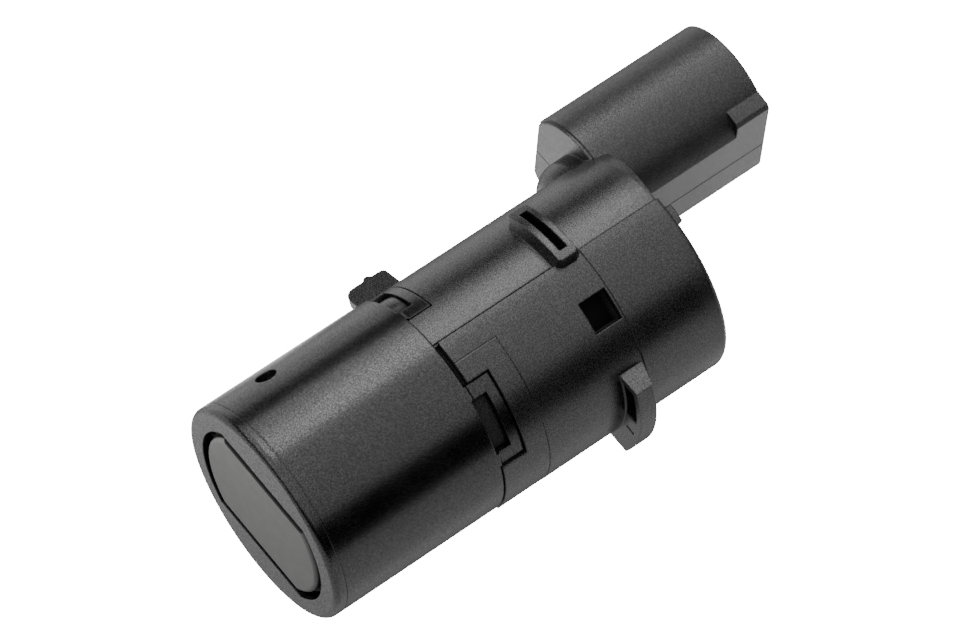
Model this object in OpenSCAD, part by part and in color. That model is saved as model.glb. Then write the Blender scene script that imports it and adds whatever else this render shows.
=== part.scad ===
// Ultrasonic parking sensor for a bumper: a sleeve with an oblong sensing face,
// snapped onto a rear housing that carries the circuit and an offset plug socket.
// Every piece is drawn with z along the sensor's axis, back from the sensing face,
// x towards the socket and y up. seated() lays that axis along +Y of the part.

/* [Sleeve] */
// Outside diameter of the sleeve
sensor_d = 24; // [23.6:0.1:25]
// Rear edge of the sleeve, back from the sensing face
sleeve_end = 20.6; // [19.8:0.1:21]
// Wall of the sleeve and of its latch tabs
sleeve_wall = 1; // [0.9:0.05:1.05]
// Thickness of the flat ring round the sensing face
face_ring_t = 1.6; // [1.2:0.1:2]
// How far that ring lies behind the sensing face
face_set_back = 0.05; // [0.02:0.01:0.3]
// Rounding of the sleeve's front edge
nose_round = 0.7; // [0.4:0.05:0.9]
// Distance of the mould line from the front of the sleeve
mould_line = 1.35; // [1.1:0.05:1.6]
// Width of that ring beside the round ends of the front opening
face_rim = 2.4; // [2.2:0.05:2.7]
// Half the distance between the flats of the front opening
opening_flat = 7.1; // [6.9:0.05:7.4]
// Diameter of the small hole in the sleeve's side
side_hole_d = 2.3; // [1.5:0.1:3]
// Distance of that hole from the sensing face
side_hole_place = 6.8; // [5.2:0.1:12.2]

/* [Latches] */
// Half the angle that one latch tab covers
tab_half = 22.5; // [21:0.1:26]
// Rear end of the latch tabs, back from the sensing face
tab_end = 23.4; // [23:0.1:24.2]
// Half the angle of the window in a tab
window_half = 15.2; // [12:0.1:16]
// Front edge of the window in a tab
window_front = 20.4; // [20:0.05:20.5]
// Rear edge of the window in a tab
window_end = 22.3; // [22:0.05:22.4]
// Gap left round the tabs and the latch noses
latch_gap = 0.15; // [0.1:0.01:0.2]

/* [Transducer] */
// Gap between the round ends of the cup and the front opening
front_gap = 0.75; // [0.7:0.05:1.2]
// Half the distance between the flats of the cup
cup_flat = 6.15; // [6:0.05:6.6]
// Length of the cup from its sensing face to its open end
cup_len = 9; // [8.5:0.1:10]
// Side wall of the cup
cup_wall = 0.85; // [0.7:0.05:1.1]
// Thickness of the cup's sensing face
membrane_t = 0.7; // [0.5:0.05:0.9]
// Rounding of the cup's front edge at its round ends
cup_round = 0.5; // [0.2:0.05:0.6]
// Rounding of the cup's front edge along its flats
cup_flat_round = 0.12; // [0.08:0.01:0.3]
// How far the flange at the cup's open end stands out past the cup
flange_out = 0.55; // [0.35:0.05:0.75]
// Radius of the piezo disc
piezo_r = 4.5; // [4.4:0.05:4.6]
// Thickness of the piezo disc
piezo_t = 0.4; // [0.3:0.05:0.6]
// Thickness of the damping plug behind the piezo disc
plug_t = 2.5; // [2:0.1:3.5]
// Thickness of the foam pad behind the cup
pad_t = 3.1; // [2.5:0.1:4]
// How far the decoupling ring's lip reaches into the front gap
lip_t = 0.7; // [0.4:0.05:0.9]
// Thickness of that lip round the cup
lip_w = 0.3; // [0.2:0.05:0.35]
// Half the side of a square lead
lead_half = 0.25; // [0.2:0.01:0.3]

/* [Rear housing] */
// Rear face of the housing on the socket side
housing_end = 47.5; // [47:0.1:48.2]
// How far the other half reaches behind that face
collar_over = 0.8; // [0.5:0.1:1.2]
// How far that other half stands out past the sleeve, and the socket side lies below it
half_step = 0.2; // [0.17:0.01:0.25]
// Where the raised collar of the other half starts
collar_start = 38.3; // [38.2:0.1:40.2]
// Height of that collar
collar_h = 0.15; // [0.1:0.01:0.2]
// Wall of the spigot that carries the sleeve
spigot_wall = 1.1; // [1.05:0.01:1.15]
// Thickness of the housing's rear wall
rear_wall = 2; // [1.6:0.1:2.2]
// Front end of the spigot inside the sleeve
spigot_front = 6.4; // [6:0.1:6.5]
// Running clearance between the spigot and the sleeve
spigot_gap = 0.1; // [0.06:0.01:0.12]
// Rounding of the housing's rear edge
rear_round = 0.6; // [0.3:0.1:0.8]
// Width of the square window in the housing wall, round the housing
port_side = 3.45; // [2.6:0.05:3.6]
// Length of that window along the housing
port_len = 3.2; // [2.4:0.05:3.3]

/* [Clips] */
// Front edge of the slotted clips and the side hook
clip_front = 35.2; // [34.7:0.1:35.5]
// Rear edge of the slotted clips and the side hook
clip_end = 38.2; // [38:0.1:38.3]
// How far a slotted clip stands out of the housing
clip_out = 1.35; // [1:0.05:1.6]
// Width of the slot in a clip
clip_slot = 0.95; // [0.6:0.05:1.1]
// How far the side hook stands out of the housing
hook_out = 2.6; // [2.2:0.1:2.8]
// Height of the side hook's upper end above the sensor's axis
hook_top = 5.75; // [5:0.05:6]
// Depth of the side hook's lower end below the sensor's axis
hook_bottom = 6.7; // [6:0.1:7]
// Wall of the side hook
hook_wall = 0.7; // [0.5:0.05:0.8]
// How far the fin stands out of the housing
fin_out = 2.9; // [2:0.1:3.1]
// Thickness of the fin
fin_t = 1.1; // [0.9:0.1:1.5]
// Front edge of the fin
fin_front = 21.3; // [21:0.1:21.8]
// Rear edge of the fin
fin_end = 26.4; // [26.2:0.05:27.7]

/* [Socket] */
// Distance of the socket's axis from the sensor's axis
socket_off = 11.2; // [11:0.05:11.5]
// Radius of the socket's arched top
socket_r = 7.25; // [7.1:0.05:7.3]
// Half the distance between the socket's flat sides
socket_half = 6.6; // [6.5:0.05:6.7]
// Wall of the socket shroud
socket_wall = 1.2; // [1.1:0.05:1.3]
// Rear rim of the socket
socket_end = 66.8; // [65.2:0.1:68.2]
// Depth of the socket from its rim to its floor
socket_deep = 12.4; // [11.5:0.1:12.6]
// Length of the short key at the socket's rim
key_len = 4.1; // [3:0.1:6]
// Distance between neighbouring terminals
pin_pitch = 2.54; // [2.4:0.02:2.6]
// Side of a terminal's square section
pin_side = 0.64; // [0.6:0.02:0.66]
// How far a terminal stands out of the socket's floor
pin_out = 9; // [8:0.1:10]

/* [Circuit] */
// Thickness of the circuit board
board_t = 1.6; // [1.2:0.1:1.6]
// Distance of the board's side edges from the widest part of the housing's bore
board_side_gap = 2.4; // [2.2:0.05:2.5]
// Front edge of the circuit board
board_front = 24; // [23.6:0.1:24.3]
// Gap between the board and the housing's rear wall
board_back_gap = 0.8; // [0.6:0.1:1]
// Radius of the transformer's flanges
coil_r = 3.3; // [3:0.05:3.35]
// Height of the transformer above its base
coil_h = 4.6; // [4:0.1:5.5]
// Radius of the storage capacitor
can_r = 2.5; // [2:0.1:2.5]
// Height of the storage capacitor
can_h = 5.4; // [4.5:0.1:6]
// Length of the driver chip's body
chip_len = 8.7; // [8:0.1:9]
// Width of the driver chip's body
chip_w = 3.9; // [3.6:0.1:4]
// Thickness of the driver chip's body
chip_t = 1.4; // [1.2:0.1:1.6]

/* [Hidden] */
$fn = 96;
tiny = 0.01;
body_r = sensor_d / 2;
tab_r = body_r - half_step;
sleeve_in = body_r - sleeve_wall;
spigot_r = sleeve_in - spigot_gap;
bore_r = spigot_r - spigot_wall;
opening_r = body_r - face_rim;
cup_r = opening_r - front_gap;
flange_r = cup_r + flange_out;
ring_back = face_set_back + face_ring_t;
groove = 0.06;
seam = 0.15;
tab_turn = 1.5;
tab_angles = [for (i = [0:3]) 45 + tab_turn + 90 * i];
side_hole_angle = 45;
tab_side_gap = 1;
tab_shoulder = 0.05;
tab_relief = 0.1;
// A latch nose is the cap of a sphere: its top lies the gap below the tab's outside,
// and it passes the gap inside the window's edge where that meets the sleeve's inside
nose_top = tab_r - latch_gap;
nose_root = 0.5;
nose_low = 0.6;
nose_half = asin(sin(window_half) - latch_gap / sleeve_in);
nose_middle = (nose_top * nose_top - sleeve_in * sleeve_in) / (2 * (nose_top - sleeve_in * cos(nose_half)));
// Stack of pieces behind the sensing face
piezo_back = membrane_t + piezo_t;
plug_back = piezo_back + plug_t;
pad_back = cup_len + pad_t;
// Ribs that centre the decoupling ring in the front opening
rib_angles = [12, 24, 192, 204];
rib_w = 0.5;
rib_gap = 0.1;
bore_back = housing_end - rear_wall;
// Housing halves and collar
near_r = body_r - half_step;
far_r = body_r + half_step;
collar_r = far_r + collar_h;
near_edge = housing_end + 0.4;
near_taper = 1.8;
near_draft = 0.3;
near_rise = 0.15;
near_lean = 0.14;
far_end = housing_end + collar_over;
rear_lip = 1.6;
rear_boss = 0.45;
rear_boss_from = 96;
rear_boss_to = 105.2;
// Narrow groove where the two halves meet
split_at = 90;
split_turn = 1.2;
split_deep = 0.25;
split_runs = [[sleeve_end - seam, clip_front - seam], [clip_end + seam, far_end]];
// Wider gap between the sleeve and the far half, beside that groove
step_to = tab_angles[1] - tab_half - tab_side_gap / 2;
step_w = 0.45;
step_deep = 1;
// Sunk panel behind the tabs of the far half
panel_from = 102.5;
panel_end = sleeve_end + 5.45;
panel_deep = 0.03;
// How deep the clips, the hook, the fin and the boss are rooted in the wall
root = 1;
// Square window in the wall of the far half, level with the clips
port_angle = 119.25;
port_front = clip_front - 0.36;
// Slotted clips
clip_angle = 73.2;
clip_half = 4.25;
clip_reach = 25;
clip_corner = 0.7;
clip_spare = 0.3;
clip_slope = 0.4;
clip_heel = 0.3;
clip_slot_front = clip_front + 1.12;
clip_slot_half = 3.3;
clip_slot_floor = near_r - 1.1;
// Side hook
hook_front = clip_front + 0.2;
hook_r = body_r + hook_out;
hook_from = 120;
hook_to = 240;
hook_taper = 0.8;
hook_floor = 0.4;
hook_slot_from = 187.2;
hook_slot_to = 188.7;
hook_slot_deep = 0.8;
// Fin
fin_round = 1.3;
fin_corner = 0.6;
fin_tooth = 0.4;
fin_tooth_at = fin_front + 3.05;
fin_tooth_half = 0.55;
fin_tilt = 25;
fin_rise = 1;
fin_len = root + fin_out + 0.6;
// Socket
socket_front = housing_end + 0.2;
socket_floor = socket_end - socket_deep;
socket_corner = 1.5;
socket_step = 0.35;
socket_step_in = 0.2;
socket_line = -2;
// Short key at the rim, level with the flat side
key_in = socket_off - socket_half;
key_edge = 5.25;
key_top = 5.55;
key_w = 1.8;
key_edge_w = 0.3;
key_edge_h = 0.5;
// Fairing
fairing_off = 8;
fairing_r = 6;
fairing_round = 3;
fairing_len = 4.3;
fairing_front = housing_end - fairing_len;
// Circuit board: its inner face looks away from the socket
board_in = 4;
board_half = bore_r - board_side_gap;
board_out = board_in + board_t;
board_end = bore_back - board_back_gap;
lead_in = board_in - 2 * lead_half;
lead_end = board_front + 1.6;
hot_lead_at = -1.4;
ground_lead_at = 3.4;
// Terminals: soldered flat on the board's outer face, then stepped out to the socket
pin_foot = 5;
pin_tail = board_end - pin_foot;
pin_jog = housing_end + 1.7;
pin_tip = socket_floor + pin_out;
pin_taper = 0.2;
// Pieces on the board: place across it and along it
row_gap = 0.9;
base_t = 0.8;
flange_t = 0.6;
post_r = 1.2;
coil_across = -3.2;
winding_in = 0.5;
can_across = 4.3;
can_foot = 0.5;
chip_lead = 0.9;
chip_lead_w = 0.4;
chip_lead_t = 0.25;
chip_pitch = 1.27;
chip_leads = 6;
resistor = [0.5, 1.6, 0.8];
resistor_across = [-6.4, -4.4, -2.4, -0.4];
capacitor = [1, 2, 1.25];
capacitor_across = [-4.8, -1.6, 1.6, 4.8];
resonator = [0.8, 3.2, 1.3];
resonator_across = 3;
// Rows on the board, counted forward from its rear edge
back_row_along = board_end - capacitor[2];
chip_along = back_row_along - capacitor[2] / 2 - row_gap - chip_lead - chip_w / 2;
row_along = chip_along - chip_w / 2 - chip_lead - row_gap - resonator[2] / 2;
coil_along = row_along - resonator[2] / 2 - row_gap - coil_r;
can_along = coil_along + coil_r - can_r;

// Turns the drawing frame into the part's own: axis along +Y, socket towards -X, +Z up
module seated() rotate([-90, 0, 0]) rotate([0, 0, 180]) children();

// Solid of revolution through an angle, with its far edge rounded
module round_bar(r, from, to, edge, turn = 360) {
    rotate_extrude(angle = turn) {
        translate([0, from]) square([r, to - from - edge]);
        translate([0, from]) square([r - edge, to - from]);
        intersection() {
            translate([r - edge, to - edge]) circle(edge);
            translate([0, from]) square([r, to - from]);
        }
    }
}

// Part of a ring between two angles, square in section
module ring_part(r_in, r_out, from, to, angle_from, angle_to) {
    rotate([0, 0, angle_from])
        rotate_extrude(angle = angle_to - angle_from)
            translate([r_in, from]) square([r_out - r_in, to - from]);
}

// Disc with two flats, its round ends towards x
module double_d(r, flat) {
    intersection() {
        circle(r);
        square([2 * r + 1, 2 * flat], center = true);
    }
}

// Prism with two flats between two places on the axis
module double_d_bar(r, flat, from, to) {
    translate([0, 0, from]) linear_extrude(to - from) double_d(r, flat);
}

// Plate across x and z, of a thickness along y
module side_plate(thick) {
    rotate([90, 0, 0]) linear_extrude(thick, center = true) children();
}

// Clears the sleeve's tube away between two tabs and breaks its rear edge there
module between_tabs() {
    rotate([0, 0, tab_half]) rotate_extrude(angle = 90 - 2 * tab_half) polygon([
        [sleeve_in - 1, sleeve_end],
        [body_r - seam, sleeve_end],
        [body_r + 1, sleeve_end - seam - 1],
        [body_r + 1, tab_end + 1],
        [sleeve_in - 1, tab_end + 1],
    ]);
}

module front_sleeve() {
    color("#2b2b2c")
    difference() {
        rotate_extrude() difference() {
            union() {
                translate([0, face_set_back]) square([body_r - nose_round, nose_round + 1]);
                translate([body_r - nose_round, face_set_back + nose_round]) circle(nose_round);
                polygon([
                    [0, face_set_back + nose_round],
                    [body_r, face_set_back + nose_round],
                    [body_r, sleeve_end + tab_shoulder],
                    [tab_r, sleeve_end + tab_shoulder + half_step],
                    [tab_r, tab_end],
                    [0, tab_end],
                ]);
            }
            translate([0, ring_back]) square([sleeve_in, tab_end]);
            translate([body_r - groove, face_set_back + mould_line - groove])
                square([1, 2 * groove]);
        }
        double_d_bar(opening_r, opening_flat, -1, ring_back + 1);
        for (a = tab_angles) {
            rotate([0, 0, a]) between_tabs();
            ring_part(sleeve_in - 1, body_r + 1, window_front, window_end,
                a - window_half, a + window_half);
        }
        rotate([0, 0, side_hole_angle]) translate([sleeve_in - 1, 0, side_hole_place])
            rotate([0, 90, 0]) cylinder(h = 3, d = side_hole_d);
    }
}

// Rounded latch nose that fills a tab's window, worn lower by an amount
module latch_nose(low) {
    intersection() {
        translate([nose_middle, 0, (window_front + window_end) / 2]) sphere(nose_top - nose_middle);
        ring_part(spigot_r - nose_root, nose_top + tiny - low, window_front + latch_gap,
            window_end - latch_gap, -tab_half, tab_half);
    }
}

// Slotted clip that the bumper's spring finger grips: sloping front, cut corners
module slotted_clip() {
    front = clip_front - clip_spare;
    back = clip_end + clip_spare;
    rotate([0, 0, clip_angle]) intersection() {
        rotate([0, 0, -clip_reach]) rotate_extrude(angle = 2 * clip_reach) polygon([
            [near_r - root, front],
            [near_r, clip_front],
            [body_r + clip_out, clip_front + clip_slope],
            [body_r + clip_out, clip_end - clip_heel],
            [near_r, clip_end],
            [near_r - root, back],
        ]);
        rotate([90, 0, 90]) linear_extrude(sensor_d) polygon([
            [-clip_half, clip_front + clip_corner],
            [clip_corner - clip_half, front],
            [clip_half - clip_corner, front],
            [clip_half, clip_front + clip_corner],
            [clip_half, clip_end - clip_corner],
            [clip_half - clip_corner, back],
            [clip_corner - clip_half, back],
            [-clip_half, clip_end - clip_corner],
        ]);
    }
}

module clip_slot_cut() {
    rotate([0, 0, clip_angle]) translate([clip_slot_floor, -clip_slot_half, clip_slot_front])
        cube([body_r, 2 * clip_slot_half, clip_slot]);
}

// Block on the hook's side of the axis between two heights
module hook_band(from, to) {
    translate([-2 * body_r, from, 0]) cube([2 * body_r, to - from, socket_end]);
}

// Hook on the side away from the socket: its upper half is hollow and open towards the front
module side_hook() {
    difference() {
        intersection() {
            rotate([0, 0, hook_from]) rotate_extrude(angle = hook_to - hook_from) polygon([
                [far_r - root, hook_front],
                [hook_r, hook_front],
                [hook_r, clip_end - hook_taper],
                [far_r, clip_end],
                [far_r - root, clip_end],
            ]);
            hook_band(-hook_bottom, hook_top);
        }
        intersection() {
            ring_part(collar_r, hook_r - hook_wall, hook_front - 1, clip_end - 2 * hook_wall,
                hook_from, hook_to);
            hook_band(hook_floor, hook_top - hook_wall);
        }
        ring_part(collar_r + hook_wall / 2, hook_r - hook_wall, hook_front - 1,
            hook_front + hook_slot_deep, hook_slot_from, hook_slot_to);
    }
}

// Flat fin on the socket side, drooping, with a small tooth on its edge
module fin() {
    translate([near_r - root, fin_rise, 0]) rotate([0, 0, -fin_tilt]) side_plate(fin_t) {
        translate([0, fin_front]) square([fin_len - fin_round, fin_end - fin_front]);
        translate([0, fin_front + fin_round])
            square([fin_len, fin_end - fin_front - fin_round - fin_corner]);
        translate([fin_len - fin_round, fin_front + fin_round]) circle(fin_round);
        translate([0, fin_end - 2 * fin_corner]) square([fin_len - fin_corner, 2 * fin_corner]);
        translate([fin_len - fin_corner, fin_end - fin_corner]) circle(fin_corner);
        polygon([
            [fin_len - tiny, fin_tooth_at - fin_tooth_half],
            [fin_len + fin_tooth, fin_tooth_at - fin_tooth_half / 3],
            [fin_len + fin_tooth, fin_tooth_at + fin_tooth_half / 3],
            [fin_len - tiny, fin_tooth_at + fin_tooth_half],
        ]);
    }
}

// Arch of the socket's section: round on top, flat sides, rounded lower corners
module arch(inset) {
    r = socket_r - inset;
    half = socket_half - inset;
    corner = socket_corner - inset;
    intersection() {
        circle(r);
        translate([-half, 0]) square([2 * half, r]);
    }
    translate([-half, corner - r]) square([2 * half, r - corner + tiny]);
    translate([corner - half, -r]) square([2 * (half - corner), r]);
    for (side = [-1, 1]) translate([side * (half - corner), corner - r]) circle(corner);
}

// Short key that squares the upper corner of the rim
module key_outline() {
    polygon([
        [key_in, 0],
        [key_in, key_edge - key_edge_h],
        [key_in + key_edge_w, key_edge],
        [key_in + key_w, key_top],
        [socket_off, 0],
    ]);
}

module socket_shroud() {
    translate([socket_off, 0, socket_front]) linear_extrude(socket_step + tiny) arch(socket_step_in);
    translate([socket_off, 0, socket_front + socket_step])
        linear_extrude(socket_end - socket_front - socket_step) arch(0);
    intersection() {
        translate([socket_off, 0, housing_end - root]) linear_extrude(2 * root) arch(socket_step_in);
        cylinder(h = socket_end, r = near_r - rear_round);
    }
    translate([0, 0, socket_end - key_len]) linear_extrude(key_len) key_outline();
}

module socket_cut() {
    translate([socket_off, 0, socket_floor]) linear_extrude(socket_deep + 1) arch(socket_wall);
}

// Mould line along the socket's flat sides and across its front wall
module socket_mould_line() {
    translate([0, socket_line - groove, 0]) {
        translate([key_in - 1, 0, housing_end]) cube([1 + groove, 2 * groove, socket_end]);
        translate([socket_off + socket_half - groove, 0, 0]) cube([1, 2 * groove, socket_end + 1]);
        translate([fairing_off + fairing_r, 0, socket_front - 1]) cube([socket_r, 2 * groove, 1 + groove]);
    }
}

// Domed fairing between the housing and the front wall of the socket
module fairing() {
    translate([fairing_off, 0, housing_end + 1]) mirror([0, 0, 1])
        round_bar(fairing_r, 0, housing_end + 1 - fairing_front, fairing_round);
}

// Socket side of the housing: its tapered rear end leans back towards the socket
module near_half() {
    intersection() {
        rotate([0, 0, -90]) rotate_extrude(angle = 180) polygon([
            [0, sleeve_end],
            [near_r, sleeve_end],
            [near_r, near_edge],
            [near_r - near_draft, near_edge + near_taper],
            [0, near_edge + near_taper],
        ]);
        side_plate(3 * body_r) polygon([
            [-root, 0],
            [-root, near_edge + near_rise - near_lean * root],
            [sensor_d, near_edge + near_rise + near_lean * sensor_d],
            [sensor_d, 0],
        ]);
    }
}

module rear_housing() {
    color("#262627")
    difference() {
        union() {
            translate([0, 0, spigot_front]) cylinder(h = sleeve_end - spigot_front + 1, r = spigot_r);
            near_half();
            rotate([0, 0, 90]) round_bar(far_r, sleeve_end, far_end, rear_round, 180);
            rotate([0, 0, 90]) round_bar(collar_r, collar_start, far_end, rear_round, 180);
            ring_part(far_r - rear_lip, far_r, housing_end - root, far_end + rear_boss,
                rear_boss_from, rear_boss_to);
            slotted_clip();
            mirror([0, 1, 0]) slotted_clip();
            side_hook();
            fin();
            fairing();
            socket_shroud();
        }
        translate([0, 0, spigot_front - 1]) cylinder(h = bore_back - spigot_front + 1, r = bore_r);
        rotate([0, 0, 90]) rotate_extrude(angle = 180)
            translate([0, housing_end]) square([far_r - rear_lip, collar_over + 1]);
        for (a = tab_angles) difference() {
            ring_part(spigot_r - tab_relief, body_r + 1, sleeve_end - 2 * seam, tab_end + latch_gap,
                a - tab_half - tab_side_gap, a + tab_half + tab_side_gap);
            rotate([0, 0, a]) latch_nose(cos(a) < 0 ? nose_low : 0);
        }
        rotate([0, 0, port_angle]) translate([bore_r - 1, -port_side / 2, port_front])
            cube([collar_r, port_side, port_len]);
        for (side = [0, 1]) mirror([0, side, 0]) {
            clip_slot_cut();
            for (run = split_runs)
                ring_part(near_r - split_deep, far_r, run[0], run[1], split_at - split_turn, split_at);
            ring_part(far_r - step_deep, collar_r, sleeve_end - seam, sleeve_end + step_w,
                split_at, step_to);
        }
        ring_part(far_r - panel_deep, collar_r, sleeve_end - seam, panel_end,
            panel_from, 360 - panel_from);
        socket_cut();
        socket_mould_line();
        for (i = [1:3]) terminal(i);
    }
}

module transducer_cup() {
    color("#6d6d6b")
    difference() {
        union() {
            intersection() {
                translate([0, 0, cup_len]) mirror([0, 0, 1]) round_bar(cup_r, 0, cup_len, cup_round);
                rotate([90, 0, 90]) linear_extrude(2 * cup_r + 2, center = true) {
                    translate([-cup_flat, cup_flat_round]) square([2 * cup_flat, cup_len]);
                    translate([cup_flat_round - cup_flat, 0])
                        square([2 * (cup_flat - cup_flat_round), cup_len]);
                    for (side = [-1, 1])
                        translate([side * (cup_flat - cup_flat_round), cup_flat_round])
                            circle(cup_flat_round);
                }
            }
            translate([0, 0, spigot_front]) cylinder(h = cup_len - spigot_front, r = flange_r);
        }
        double_d_bar(cup_r - cup_wall, cup_flat - cup_wall, membrane_t, cup_len + 1);
    }
}

module decoupling_ring() {
    color("#161616")
    difference() {
        union() {
            translate([0, 0, ring_back]) cylinder(h = spigot_front - ring_back, r = spigot_r);
            double_d_bar(cup_r + lip_w, cup_flat + lip_w, ring_back - lip_t, ring_back + 1);
            for (a = rib_angles) rotate([0, 0, a]) translate([cup_r - lip_w, -rib_w / 2, ring_back - lip_t])
                cube([opening_r - rib_gap - cup_r + lip_w, rib_w, lip_t + lip_w]);
        }
        double_d_bar(cup_r, cup_flat, 0, spigot_front + 1);
    }
}

module piezo_disc() {
    color("#d9d2b8") translate([0, 0, membrane_t]) cylinder(h = piezo_t, r = piezo_r);
}

// Fills the inside of the cup between two places, round the leads and the piezo disc
module cup_fill(from, to) {
    difference() {
        double_d_bar(cup_r - cup_wall, cup_flat - cup_wall, from, to);
        piezo_disc();
        hot_lead();
        ground_lead();
    }
}

module damping_plug() {
    color("#7b7f86") cup_fill(membrane_t, plug_back);
}

module cup_sealant() {
    color("#3a3a3d") cup_fill(plug_back, cup_len);
}

module isolation_pad() {
    color("#4a4d52")
    difference() {
        translate([0, 0, cup_len]) cylinder(h = pad_t, r = bore_r);
        hot_lead();
        ground_lead();
    }
}

// Square lead from the cup to the inner face of the board
module lead(across, from) {
    translate([lead_in, across - lead_half, from])
        cube([2 * lead_half, 2 * lead_half, lead_end - from]);
}

module hot_lead() {
    color("#b5392c") lead(hot_lead_at, piezo_back);
}

module ground_lead() {
    color("#2c2c2e") lead(ground_lead_at, membrane_t);
}

// Square terminal: tail on the board, step in the rear wall, tapered tip in the socket
module terminal(i) {
    inner = board_out;
    outer = socket_off - pin_side / 2;
    color("#b9b9b4")
    translate([0, (i - 2) * pin_pitch, 0]) side_plate(pin_side) polygon([
        [inner, pin_tail],
        [inner + pin_side, pin_tail],
        [inner + pin_side, pin_jog],
        [outer + pin_side, pin_jog],
        [outer + pin_side, pin_tip - pin_side],
        [outer + pin_side - pin_taper, pin_tip],
        [outer + pin_taper, pin_tip],
        [outer, pin_tip - pin_side],
        [outer, pin_jog + pin_side],
        [inner, pin_jog + pin_side],
    ]);
}

module circuit_board() {
    color("#1f5a34") translate([board_in, -board_half, board_front])
        cube([board_t, 2 * board_half, board_end - board_front]);
}

// Block on the inner face of the board: size is height, length across and width along
module on_board(size, across, along) {
    translate([board_in - size[0], across - size[1] / 2, along - size[2] / 2]) cube(size);
}

// Round shape on the inner face of the board, built up from its surface
module standing(across, along) {
    translate([board_in, across, along]) rotate([0, -90, 0]) children();
}

module transformer_base() {
    color("#1b1b1b") on_board([base_t, 2 * coil_r, 2 * coil_r], coil_across, coil_along);
}

module transformer_core() {
    color("#3d3d3f")
    standing(coil_across, coil_along) translate([0, 0, base_t]) {
        cylinder(h = flange_t, r = coil_r);
        cylinder(h = coil_h, r = post_r);
        translate([0, 0, coil_h - flange_t]) cylinder(h = flange_t, r = coil_r);
    }
}

module transformer_winding() {
    color("#b4652e")
    standing(coil_across, coil_along) translate([0, 0, base_t + flange_t]) difference() {
        cylinder(h = coil_h - 2 * flange_t, r = coil_r - winding_in);
        translate([0, 0, -1]) cylinder(h = coil_h + 2, r = post_r);
    }
}

module storage_capacitor() {
    color("#9da0a3")
    standing(can_across, can_along) {
        translate([-can_r, -can_r, 0]) cube([2 * can_r, 2 * can_r, can_foot]);
        cylinder(h = can_h, r = can_r);
    }
}

module driver_chip() {
    color("#202022") {
        translate([board_in - chip_t - chip_lead_t, -chip_len / 2, chip_along - chip_w / 2])
            cube([chip_t, chip_len, chip_w]);
        for (i = [0:chip_leads - 1])
            on_board([2 * chip_lead_t, chip_lead_w, chip_w + 2 * chip_lead],
                (i - (chip_leads - 1) / 2) * chip_pitch, chip_along);
    }
}

module clock_resonator() {
    color("#c9b98a") on_board(resonator, resonator_across, row_along);
}

module chip_resistor(i) {
    color("#252527") on_board(resistor, resistor_across[i - 1], row_along);
}

module ceramic_capacitor(i) {
    color("#a88a62") on_board(capacitor, capacitor_across[i - 1], back_row_along);
}

// Everything that the potting compound flows round
module potted_pieces() {
    hot_lead();
    ground_lead();
    for (i = [1:3]) terminal(i);
    circuit_board();
    transformer_base();
    transformer_core();
    transformer_winding();
    storage_capacitor();
    driver_chip();
    clock_resonator();
    for (i = [1:4]) chip_resistor(i);
    for (i = [1:4]) ceramic_capacitor(i);
}

module potting_compound() {
    color("#121214")
    difference() {
        translate([0, 0, pad_back]) cylinder(h = bore_back - pad_back, r = bore_r);
        potted_pieces();
    }
}

seated() front_sleeve();
seated() rear_housing();
seated() transducer_cup();
seated() decoupling_ring();
seated() piezo_disc();
seated() damping_plug();
seated() cup_sealant();
seated() isolation_pad();
seated() hot_lead();
seated() ground_lead();
for (i = [1:3]) seated() terminal(i);
seated() circuit_board();
seated() transformer_base();
seated() transformer_core();
seated() transformer_winding();
seated() storage_capacitor();
seated() driver_chip();
seated() clock_resonator();
for (i = [1:4]) seated() chip_resistor(i);
for (i = [1:4]) seated() ceramic_capacitor(i);
seated() potting_compound();
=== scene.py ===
import math
import bpy
from mathutils import Matrix, Vector


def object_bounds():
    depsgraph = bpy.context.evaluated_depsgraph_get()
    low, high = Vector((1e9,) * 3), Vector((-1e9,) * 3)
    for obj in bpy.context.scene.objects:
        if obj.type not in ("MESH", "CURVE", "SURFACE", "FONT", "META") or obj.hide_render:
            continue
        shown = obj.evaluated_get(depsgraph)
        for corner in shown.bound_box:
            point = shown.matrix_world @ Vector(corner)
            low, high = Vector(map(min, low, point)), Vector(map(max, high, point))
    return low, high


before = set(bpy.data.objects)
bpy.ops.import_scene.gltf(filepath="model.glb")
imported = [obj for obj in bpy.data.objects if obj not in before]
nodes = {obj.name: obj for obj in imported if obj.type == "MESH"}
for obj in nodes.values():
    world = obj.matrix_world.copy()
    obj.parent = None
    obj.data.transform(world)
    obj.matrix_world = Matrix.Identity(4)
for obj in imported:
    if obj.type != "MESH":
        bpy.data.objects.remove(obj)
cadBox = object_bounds()
mm = 0.001
print("frame loaded:", len(nodes), "nodes")


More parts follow.
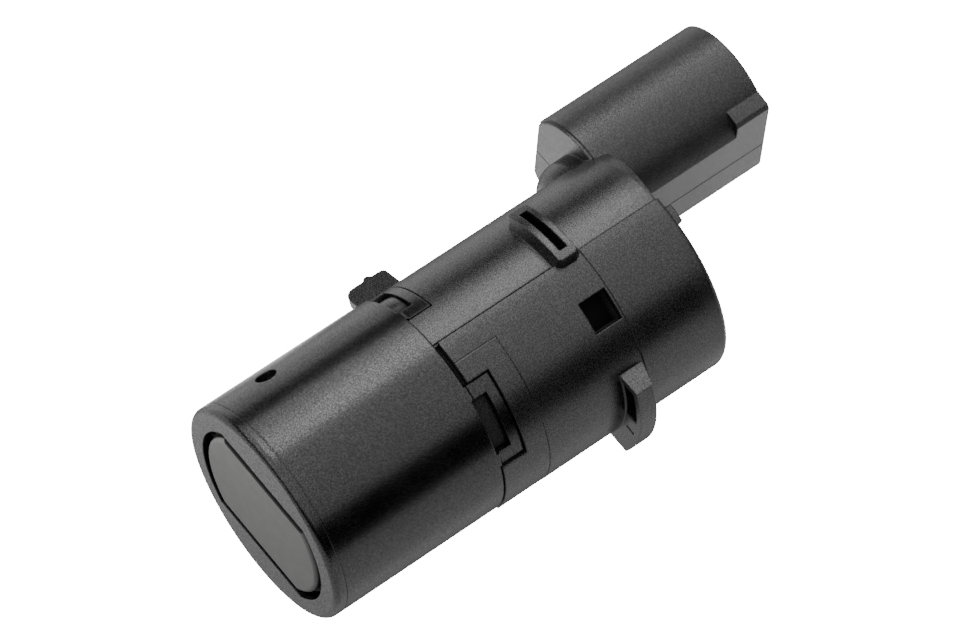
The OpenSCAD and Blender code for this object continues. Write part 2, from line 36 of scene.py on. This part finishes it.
class Wire:  # a socket in a shader tree, with arithmetic on values
    def __init__(self, tree, socket):
        self.tree = tree
        self.socket = socket

    def node(self, kind, settings=None, **inputs):
        made = self.tree.nodes.new("ShaderNode" + kind)
        for name, value in (settings or {}).items():
            if name == "stops":
                fillRamp(made.color_ramp, value)
            else:
                setattr(made, name, value)
        for name, value in inputs.items():
            place = int(name[1:]) if name[1:].isdigit() else name.replace("_", " ")
            if isinstance(value, Wire):
                self.tree.links.new(value.socket, made.inputs[place])
            else:
                made.inputs[place].default_value = value
        return made

    def out(self, kind, port=0, settings=None, **inputs):
        return Wire(self.tree, self.node(kind, settings, **inputs).outputs[port])

    def maths(self, operation, first, second):
        return self.out("Math", 0, {"operation": operation}, i0=first, i1=second)

    def axes(self):  # the x, y and z of a vector
        split = self.node("SeparateXYZ", Vector=self)
        return [Wire(self.tree, split.outputs[k]) for k in ("X", "Y", "Z")]

    def mapped(self, span, low, high, smooth=False):  # low at the span's start, high at its end
        settings = {"interpolation_type": "SMOOTHSTEP" if smooth else "LINEAR"}
        return self.out("MapRange", 0, settings, Value=self, From_Min=span[0], From_Max=span[1],
                        To_Min=low, To_Max=high)

    def coloured(self, *stops):
        return self.out("ValToRGB", 0, {"stops": stops}, Fac=self)

    def __abs__(self):
        return self.maths("ABSOLUTE", self, 0.0)

    def __add__(self, other):
        return self.maths("ADD", self, other)

    def __radd__(self, other):
        return self.maths("ADD", other, self)

    def __sub__(self, other):
        return self.maths("SUBTRACT", self, other)

    def __rsub__(self, other):
        return self.maths("SUBTRACT", other, self)

    def __mul__(self, other):
        return self.maths("MULTIPLY", self, other)

    def __rmul__(self, other):
        return self.maths("MULTIPLY", other, self)


def fillRamp(ramp, stops):
    while len(ramp.elements) > 1:
        ramp.elements.remove(ramp.elements[-1])
    for i, (place, colour) in enumerate(stops):
        stop = ramp.elements[0] if i == 0 else ramp.elements.new(place)
        stop.position = place
        stop.color = (*colour, 1)


def startMaterial(name):
    material = bpy.data.materials.new(name)
    material.use_nodes = True
    tree = material.node_tree
    tree.nodes.clear()
    shader = tree.nodes.new("ShaderNodeBsdfPrincipled")
    output = tree.nodes.new("ShaderNodeOutputMaterial")
    tree.links.new(shader.outputs["BSDF"], output.inputs["Surface"])
    place = tree.nodes.new("ShaderNodeTexCoord").outputs["Object"]
    return material, shader, Wire(tree, place)


def plug(shader, name, value):
    if isinstance(value, Wire):
        value.tree.links.new(value.socket, shader.inputs[name])
    else:
        shader.inputs[name].default_value = value


def noise(place, scale, detail, rough):
    return place.out("TexNoise", 0, Vector=place, Scale=scale, Detail=detail, Roughness=rough)


def easedEdge(place, radius):
    return place.out("Bevel", 0, {"samples": 6}, Radius=radius)


def dress(names, material):
    for name in names:
        slots = nodes[name].data.materials
        slots.clear()
        slots.append(material)


# moulded plastic: fine spark grain, faint mottling, edges eased by the mould
mouldTexture = {
    "grain": (7200.0, 3.0, 0.6),  # about one pit every 0.14 mm
    "grainHeight": 0.016 * mm,
    "mottle": (230.0, 4.0, 0.55),
    "mixShares": (0.8, 0.2),  # of grain and mottling in the tint
    "tintStops": (0.46, 0.60),
    "tintShares": (0.0, 3.6),  # darkest and lightest speck, as shares of the tint
    "fleckSpan": (0.44, 0.58),  # grain level where a glossy fleck starts and is full
    "roughShares": (0.08, 0.06),  # how far grain and mottling vary the roughness
    "rearRise": (46 * mm, 50 * mm),  # the socket end is moulded with a coarser texture
    "slotRadius": (11.25 * mm, 11.5 * mm),  # below this the slots and latch noses are dull
}
sleevePlastic = {
    "tint": (0.0021, 0.0021, 0.0022), "shine": 0.36, "fleck": 0.6, "edge": 0.2 * mm,
    "rough": 0.17, "rearRough": 0.17, "rearFade": 0.0, "rearGrain": 0.0, "dull": 0.0,
}
housingPlastic = {
    "tint": (0.0037, 0.0037, 0.0038), "shine": 0.45, "fleck": 0.5, "edge": 0.22 * mm,
    "rough": 0.27, "rearRough": 0.36, "rearFade": 0.2, "rearGrain": 1.6, "dull": 0.7,
    "panel": (2.64 * mm, 26.05 * mm),  # X where the sunk panel starts, and Y where it ends
    "lineHalf": 0.11 * mm, "lineDeep": 3.0,  # its mould line, as deep as 3 heights of the grain
}


def makeMoulded(name, spec, texture):
    material, shader, place = startMaterial(name)
    grain = noise(place, *texture["grain"])
    mottle = noise(place, *texture["mottle"])
    grainShare, mottleShare = texture["mixShares"]
    specks = [tuple(c * share for c in spec["tint"]) for share in texture["tintShares"]]
    tint = (grain * grainShare + mottle * mottleShare).coloured(*zip(texture["tintStops"], specks))
    plug(shader, "Base Color", tint)
    side, along = place.axes()[:2]
    rear = along.mapped(texture["rearRise"], 0.0, 1.0)
    flat = place.out("VectorMath", 0, {"operation": "MULTIPLY"}, i0=place, i1=(1, 0, 1))
    outward = place.out("VectorMath", 1, {"operation": "LENGTH"}, i0=flat)
    sunk = (1 - rear) * outward.mapped(texture["slotRadius"], spec["dull"], 0.0)
    flecks = grain.mapped(texture["fleckSpan"], 0.0, spec["fleck"])
    plug(shader, "Coat Weight", flecks * (1 - rear * spec["rearFade"]) * (1 - sunk))
    plug(shader, "Coat Roughness", spec["rough"])
    plug(shader, "Specular IOR Level", spec["shine"])
    finish = rear * (spec["rearRough"] - spec["rough"]) + spec["rough"] + sunk
    grainShare, mottleShare = texture["roughShares"]
    plug(shader, "Roughness", (grain - 0.5) * grainShare + (mottle - 0.5) * mottleShare + finish)
    height = grain * (rear * spec["rearGrain"] + 1)
    if "panel" in spec:
        panelSide, panelEnd = spec["panel"]
        inward = place.maths("MINIMUM", side - panelSide, panelEnd - along)
        height = height - abs(inward).mapped((0.0, spec["lineHalf"]), spec["lineDeep"], 0.0)
    plug(shader, "Normal", place.out("Bump", 0, Strength=1.0, Distance=texture["grainHeight"],
                                     Height=height, Normal=easedEdge(place, spec["edge"])))
    return material


dress(["front_sleeve"], makeMoulded("sleevePlastic", sleevePlastic, mouldTexture))
dress(["rear_housing", "transformer_base"],
      makeMoulded("housingPlastic", housingPlastic, mouldTexture))

# other finishes: two colours mixed by specks and clouds, each with its roughness and relief
finishTexture = {
    "speck": (4.0, 0.6),
    "cloud": (3.0, 0.5),
    "cloudSize": 9,  # a cloud is as wide as 9 specks
    "mixShares": (0.55, 0.45),
    "stops": (0.32, 0.68),
    "strength": 0.6,
}
finishes = {
    "cupCoating": {
        "on": ["transducer_cup"],
        "dark": (0.035, 0.035, 0.0345), "light": (0.055, 0.055, 0.054), "scale": 6500.0,
        "rough": 0.52, "spread": 0.10, "relief": 0.006 * mm, "edge": 0.12 * mm,
        # painted shade: the cup is coloured near-black behind the face and past its flats,
        # standing in for the shade in the gap under the sleeve's ring
        "shadedBehind": (0.2 * mm, 0.4 * mm), "flatFrom": (6.02 * mm, 6.1 * mm),
        "paintedShadeTint": (0.003, 0.003, 0.003, 1),
    },
    "ringSilicone": {
        "on": ["decoupling_ring", "cup_sealant"],
        "dark": (0.002, 0.002, 0.002), "light": (0.004, 0.004, 0.004), "scale": 900.0,
        "rough": 0.62, "spread": 0.12, "relief": 0.01 * mm, "shine": 0.12,
    },
    "piezoCeramic": {
        "on": ["piezo_disc", "clock_resonator"],
        "dark": (0.55, 0.49, 0.35), "light": (0.68, 0.62, 0.47), "scale": 2600.0,
        "rough": 0.48, "spread": 0.14, "relief": 0.004 * mm,
    },
    "capacitorCeramic": {
        "on": ["ceramic_capacitor_%d" % i for i in range(1, 5)],
        "dark": (0.30, 0.20, 0.11), "light": (0.42, 0.30, 0.18), "scale": 2200.0,
        "rough": 0.5, "spread": 0.15, "relief": 0.005 * mm,
    },
    "openFoam": {
        "on": ["isolation_pad", "damping_plug"],
        "dark": (0.06, 0.064, 0.07), "light": (0.22, 0.23, 0.25), "scale": 1800.0,
        "rough": 0.88, "spread": 0.1, "relief": 0.08 * mm,
    },
    "tinnedMetal": {
        "on": ["terminal_1", "terminal_2", "terminal_3", "hot_lead", "ground_lead"],
        "dark": (0.58, 0.57, 0.54), "light": (0.74, 0.73, 0.70), "scale": 1500.0,
        "rough": 0.3, "spread": 0.16, "relief": 0.004 * mm, "metal": 1.0,
    },
    "darkFerrite": {
        "on": ["transformer_core"],
        "dark": (0.035, 0.035, 0.038), "light": (0.075, 0.075, 0.08), "scale": 2600.0,
        "rough": 0.55, "spread": 0.15, "relief": 0.008 * mm,
    },
    "canAluminium": {
        "on": ["storage_capacitor"],
        "dark": (0.50, 0.51, 0.53), "light": (0.66, 0.67, 0.69), "scale": 1300.0,
        "rough": 0.34, "spread": 0.14, "relief": 0.003 * mm, "metal": 1.0,
    },
    "chipEpoxy": {
        "on": ["driver_chip"] + ["chip_resistor_%d" % i for i in range(1, 5)],
        "dark": (0.014, 0.014, 0.015), "light": (0.032, 0.032, 0.034), "scale": 3600.0,
        "rough": 0.6, "spread": 0.12, "relief": 0.006 * mm,
    },
    "pottingResin": {
        "on": ["potting_compound"],
        "dark": (0.002, 0.002, 0.002), "light": (0.005, 0.005, 0.005), "scale": 420.0,
        "rough": 0.7, "spread": 0.15, "relief": 0.02 * mm, "shine": 0.05,
    },
}


def makeFinish(name, spec, texture):
    material, shader, place = startMaterial(name)
    speck = noise(place, spec["scale"], *texture["speck"])
    cloud = noise(place, spec["scale"] / texture["cloudSize"], *texture["cloud"])
    speckShare, cloudShare = texture["mixShares"]
    mixed = speck * speckShare + cloud * cloudShare
    tint = mixed.coloured(*zip(texture["stops"], (spec["dark"], spec["light"])))
    if "shadedBehind" in spec:
        along, up = place.axes()[1:]
        behind = along.mapped(spec["shadedBehind"], 0.0, 1.0)
        beside = abs(up).mapped(spec["flatFrom"], 0.0, 1.0)
        # painted shade on the cup's sides, behind the face and past its flats
        paintedShade = place.maths("MAXIMUM", behind, beside)
        tint = place.out("Mix", 2, {"data_type": "RGBA"}, i0=paintedShade, i6=tint, i7=spec["paintedShadeTint"])
    plug(shader, "Base Color", tint)
    plug(shader, "Roughness", (mixed - 0.5) * spec["spread"] + spec["rough"])
    plug(shader, "Metallic", spec.get("metal", 0.0))
    plug(shader, "Specular IOR Level", spec.get("shine", 0.5))
    relief = {"Strength": texture["strength"], "Distance": spec["relief"], "Height": speck}
    if "edge" in spec:
        relief["Normal"] = easedEdge(place, spec["edge"])
    plug(shader, "Normal", place.out("Bump", 0, **relief))
    return material


for finishName, finishSpec in finishes.items():
    dress(finishSpec["on"], makeFinish(finishName, finishSpec, finishTexture))

# the winding: fine enamelled turns stacked along its post, which runs across the board; the colour
# carries painted shade in the grooves between turns and a painted highlight on each crest
copperTurns = {
    "pitch": 0.16 * mm,
    "deep": (0.16, 0.05, 0.02), "bright": (0.52, 0.20, 0.07), "stops": (0.0, 0.6),
    "speck": (1400.0, 3.0, 0.5), "rough": 0.32, "spread": 0.2, "metal": 0.9,
    "relief": 0.03 * mm, "strength": 0.8,
}


def makeTurns(name, spec):
    material, shader, place = startMaterial(name)
    along = place.axes()[0]
    wave = place.maths("SINE", along * (2 * math.pi / spec["pitch"]), 0.0)
    level = wave * 0.5 + 0.5
    # painted shade between turns and painted highlight on their crests, following the turns'
    # height
    tint = level.coloured(*zip(spec["stops"], (spec["deep"], spec["bright"])))
    plug(shader, "Base Color", tint)
    speck = noise(place, *spec["speck"])
    plug(shader, "Roughness", (speck - 0.5) * spec["spread"] + spec["rough"])
    plug(shader, "Metallic", spec["metal"])
    plug(shader, "Normal", place.out("Bump", 0, Strength=spec["strength"],
                                     Distance=spec["relief"], Height=level))
    return material


dress(["transformer_winding"], makeTurns("copperTurns", copperTurns))

# the board: green resist over faint traces on a square grid
boardResist = {
    "pitch": 1.27 * mm, "traceWidth": 0.08,
    "resist": (0.012, 0.085, 0.035), "trace": (0.03, 0.17, 0.075), "stops": (0.2, 0.9),
    "mixShares": (0.7, 0.4),  # of traces and clouds in the tint
    "cloud": (300.0, 3.0, 0.5), "rough": 0.36, "spread": 0.16,
    "relief": 0.03 * mm, "strength": 0.4,
}


def makeBoard(name, spec):
    material, shader, place = startMaterial(name)
    traces = place.out("TexBrick", 1, {"offset": 0.5}, Vector=place, Scale=1 / spec["pitch"],
                       Mortar_Size=spec["traceWidth"], Brick_Width=1.0, Row_Height=0.5)
    cloud = noise(place, *spec["cloud"])
    traceShare, cloudShare = spec["mixShares"]
    mixed = traces * traceShare + cloud * cloudShare
    tint = mixed.coloured(*zip(spec["stops"], (spec["resist"], spec["trace"])))
    plug(shader, "Base Color", tint)
    plug(shader, "Roughness", (cloud - 0.5) * spec["spread"] + spec["rough"])
    plug(shader, "Normal", place.out("Bump", 0, Strength=spec["strength"],
                                     Distance=spec["relief"], Height=traces))
    return material


dress(["circuit_board"], makeBoard("boardResist", boardResist))
print("materials set")

photoView = {
    "aim": (-3.85 * mm, 29.7 * mm, 1.83 * mm),
    "azimuth": 48.02,  # degrees round from straight ahead of the sensing face
    "elevation": 60.87,
    "roll": 4.87,
    "distance": 560 * mm,
    "lens": 213.3,
    "sensorWidth": 36.0,
    "clipStart": 10 * mm,
}


def placeCamera(view):
    turn, lift, roll = (math.radians(view[k]) for k in ("azimuth", "elevation", "roll"))
    ahead = Vector((math.sin(turn), -math.cos(turn), 0))
    back = ahead * math.cos(lift) + Vector((0, 0, math.sin(lift)))
    level = Vector((math.cos(turn), math.sin(turn), 0))
    upright = back.cross(level)
    right = level * math.cos(roll) + upright * math.sin(roll)
    up = back.cross(right)
    lens = bpy.data.cameras.new("photoCamera")
    lens.lens = view["lens"]
    lens.sensor_width = view["sensorWidth"]
    lens.clip_start = view["clipStart"]
    eye = bpy.data.objects.new("photoCamera", lens)
    bpy.context.collection.objects.link(eye)
    spot = Vector(view["aim"]) + back * view["distance"]
    eye.matrix_world = Matrix((
        (right.x, up.x, back.x, spot.x),
        (right.y, up.y, back.y, spot.y),
        (right.z, up.z, back.z, spot.z),
        (0, 0, 0, 1),
    ))
    bpy.context.scene.camera = eye


placeCamera(photoView)
print("camera placed")

# white sweep below, dark walls round the horizon and a wide soft ceiling
studio = {
    "floorDrop": 60 * mm,  # the sensor is held in the air, well clear of the floor
    "floorSide": 8.0,
    "floorTint": (0.9, 0.9, 0.9, 1),
    "floorRough": 0.9,
    "white": 20.0,
    "sweep": (0.78, 1.27),  # straight below, and near its edge
    "sweepSpan": (-0.9, -0.45),  # the heights of those two places
    "sweepEdge": (0.042, -0.107),  # height of the sweep's edge, and how it tilts across
    "shadeAt": (-0.362, 0.326, -0.873),  # the sweep is shaded on the far side of the sensor
    "shadeSpan": (0.74, 0.98),
    "shadeDepth": 0.8,
    "ceiling": 2.25,
    "ceilingEdge": (0.49, 0.055),  # height of the ceiling's edge, and how it tilts across
    "ceilingFade": 0.85,  # the ceiling dims towards +X
    "wall": 0.01,
    "soften": 0.03,
}


def makeFloor(spec):
    half = spec["floorSide"] / 2
    level = cadBox[0][2] - spec["floorDrop"]
    corners = [(x * half, y * half, level) for x, y in ((-1, -1), (1, -1), (1, 1), (-1, 1))]
    mesh = bpy.data.meshes.new("floor")
    mesh.from_pydata(corners, [], [(0, 1, 2, 3)])
    floor = bpy.data.objects.new("floor", mesh)
    bpy.context.collection.objects.link(floor)
    material, shader, place = startMaterial("paleFloor")
    plug(shader, "Base Color", spec["floorTint"])
    plug(shader, "Roughness", spec["floorRough"])
    plug(shader, "Emission Color", (1, 1, 1, 1))
    plug(shader, "Emission Strength", spec["white"])
    # clear from below, so that the underside can be seen
    under = Wire(place.tree, place.node("NewGeometry").outputs["Backfacing"])
    clear = Wire(place.tree, place.node("BsdfTransparent").outputs[0])
    pane = place.node("MixShader", i0=under, i1=Wire(place.tree, shader.outputs[0]), i2=clear)
    surface = place.tree.get_output_node("ALL").inputs["Surface"]
    place.tree.links.new(pane.outputs[0], surface)
    mesh.materials.append(material)
    floor.visible_diffuse = False
    floor.visible_glossy = False
    floor.visible_shadow = False


def makeSky(spec):
    sky = bpy.data.worlds.new("studioSky")
    sky.use_nodes = True
    tree = sky.node_tree
    tree.nodes.clear()
    ray = Wire(tree, tree.nodes.new("ShaderNodeTexCoord").outputs["Generated"])
    across, height = ray.axes()[::2]
    blur = (-spec["soften"], spec["soften"])
    sweepEdge, sweepTilt = spec["sweepEdge"]
    below = (height - (across * sweepTilt + sweepEdge)).mapped(blur, 1.0, 0.0, smooth=True)
    toShade = ray.out("VectorMath", 1, {"operation": "DOT_PRODUCT"}, i0=ray, i1=spec["shadeAt"])
    shade = toShade.mapped(spec["shadeSpan"], 0.0, spec["shadeDepth"])
    sweep = below * (1 - shade) * height.mapped(spec["sweepSpan"], *spec["sweep"])
    ceilingEdge, ceilingTilt = spec["ceilingEdge"]
    cover = (height - (across * ceilingTilt + ceilingEdge)).mapped(blur, 0.0, 1.0, smooth=True)
    ceiling = cover * (spec["ceiling"] - across * spec["ceilingFade"])
    around = ray.out("Background", Strength=sweep + ceiling + spec["wall"])
    seen = ray.out("Background", Strength=spec["white"])
    camera = Wire(tree, tree.nodes.new("ShaderNodeLightPath").outputs["Is Camera Ray"])
    mixed = ray.node("MixShader", i0=camera, i1=around, i2=seen)
    output = tree.nodes.new("ShaderNodeOutputWorld")
    tree.links.new(mixed.outputs[0], output.inputs["Surface"])
    bpy.context.scene.world = sky


# one large soft box, and small cards that lift single sides
softBoxes = {
    "key": {"at": (-0.43, 0.29, 0.62), "aim": (0, 0.03, 0), "size": (0.15, 0.5), "power": 1.0},
    "rearCard": {"at": (0.017, 0.098, -0.052), "aim": (-0.005, 0.078, 0),
                 "size": (0.045, 0.045), "power": 0.0056},
    "sideCard": {"at": (-0.037, 0.028, -0.052), "aim": (-0.015, 0.047, 0),
                 "size": (0.04, 0.04), "power": 0.0052},
    "faceCard": {"at": (-0.02, -0.022, 0.028), "aim": (0, 0, 0),
                 "size": (0.012, 0.012), "power": 0.045, "gloss": False},
    "frontCard": {"at": (-0.0818, -0.0742, -0.1091), "aim": (-0.0278, -0.0252, 0.0209),
                  "size": (0.1, 0.1), "power": 0.0096},
}


def hangSoftBox(name, spec):
    lamp = bpy.data.lights.new(name, "AREA")
    lamp.shape = "RECTANGLE"
    lamp.size, lamp.size_y = spec["size"]
    lamp.energy = spec["power"]
    holder = bpy.data.objects.new(name, lamp)
    bpy.context.collection.objects.link(holder)
    holder.location = spec["at"]
    away = Vector(spec["at"]) - Vector(spec["aim"])
    holder.rotation_euler = away.to_track_quat("Z", "Y").to_euler()
    holder.visible_camera = False
    holder.visible_glossy = spec.get("gloss", True)


makeFloor(studio)
makeSky(studio)
for boxName, boxSpec in softBoxes.items():
    hangSoftBox(boxName, boxSpec)
print("studio set")
